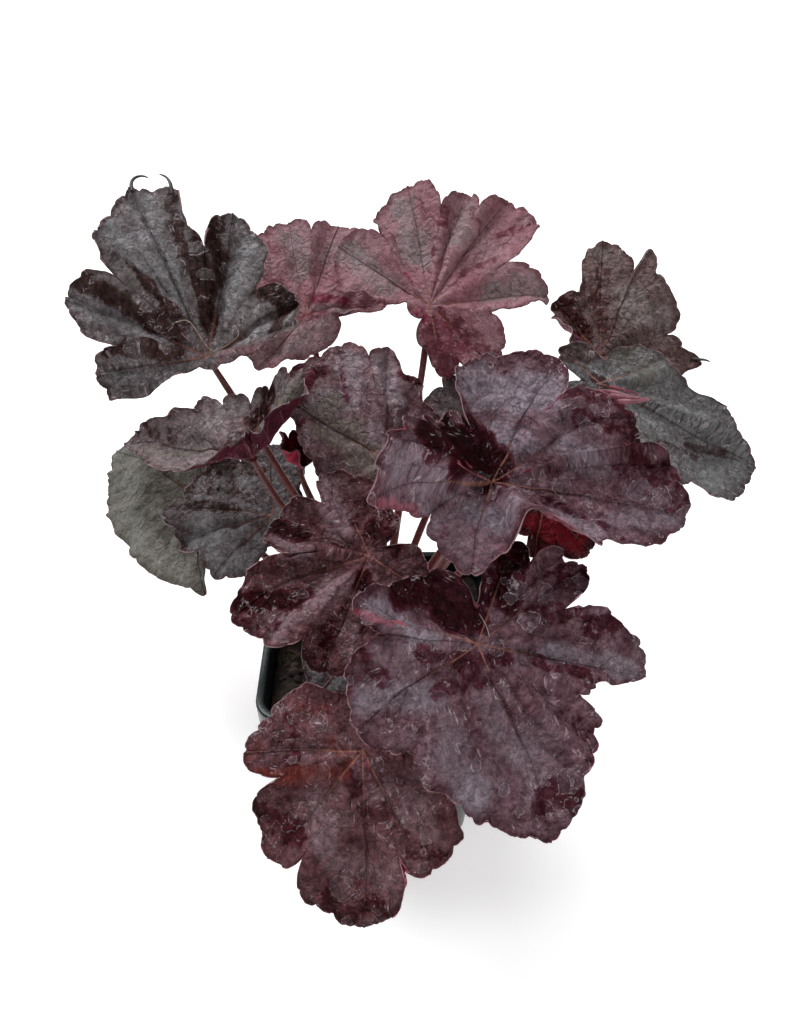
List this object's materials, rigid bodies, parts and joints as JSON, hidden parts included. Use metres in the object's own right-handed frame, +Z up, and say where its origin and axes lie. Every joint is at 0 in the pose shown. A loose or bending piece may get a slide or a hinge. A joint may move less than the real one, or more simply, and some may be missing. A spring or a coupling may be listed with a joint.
{
  "type": "potted heuchera plant",
  "caption": "Leafy perennial with lobed, toothed dark purple leaves on thin red stalks, growing in a small square nursery pot.",
  "frame": {"origin": "middle of the pot's flat base, on the surface it stands on", "axes": "+Z up, the plant's front faces -Y, +X to the right seen from the front"},
  "size_m": [0.2889, 0.2748, 0.2415],
  "materials": {
    "pot": "thin dark teal-black moulded plastic, half gloss",
    "soil": "damp dark peat with crumbs, bark and moss",
    "crown": "rough brown rootstock with dry leaf sheaths",
    "stalk": "smooth brown red stalk with fine hairs",
    "blade_plum": "dark plum leaf with a silky grey blue sheen and sunken veins",
    "blade_grey_green": "dark grey green leaf with a dull sheen and sunken veins",
    "blade_rose": "rose purple leaf with a dull sheen and sunken veins"
  },
  "bodies": {
    "root": {"pot": "pot", "soil": "soil", "crown": "crown", "blade_upper_left": "blade_grey_green", "stalk_upper_left": "stalk", "blade_rear_left": "blade_rose", "stalk_rear_left": "stalk", "blade_rear": "blade_rose", "stalk_rear": "stalk", "blade_rear_right": "blade_grey_green", "stalk_rear_right": "stalk", "blade_right": "blade_grey_green", "stalk_right": "stalk", "blade_centre_right": "blade_plum", "stalk_centre_right": "stalk", "blade_under_right": "blade_rose", "stalk_under_right": "stalk", "blade_centre": "blade_plum", "stalk_centre": "stalk", "blade_inner_right": "blade_grey_green", "stalk_inner_right": "stalk", "blade_young": "blade_rose", "stalk_young": "stalk", "blade_mid_left": "blade_plum", "stalk_mid_left": "stalk", "blade_low_left": "blade_grey_green", "stalk_low_left": "stalk", "blade_far_left": "blade_grey_green", "stalk_far_left": "stalk", "blade_front_left": "blade_plum", "stalk_front_left": "stalk", "blade_front_right": "blade_plum", "stalk_front_right": "stalk", "blade_front": "blade_plum", "stalk_front": "stalk", "blade_low_front": "blade_grey_green", "stalk_low_front": "stalk"}
  },
  "joints": []
}
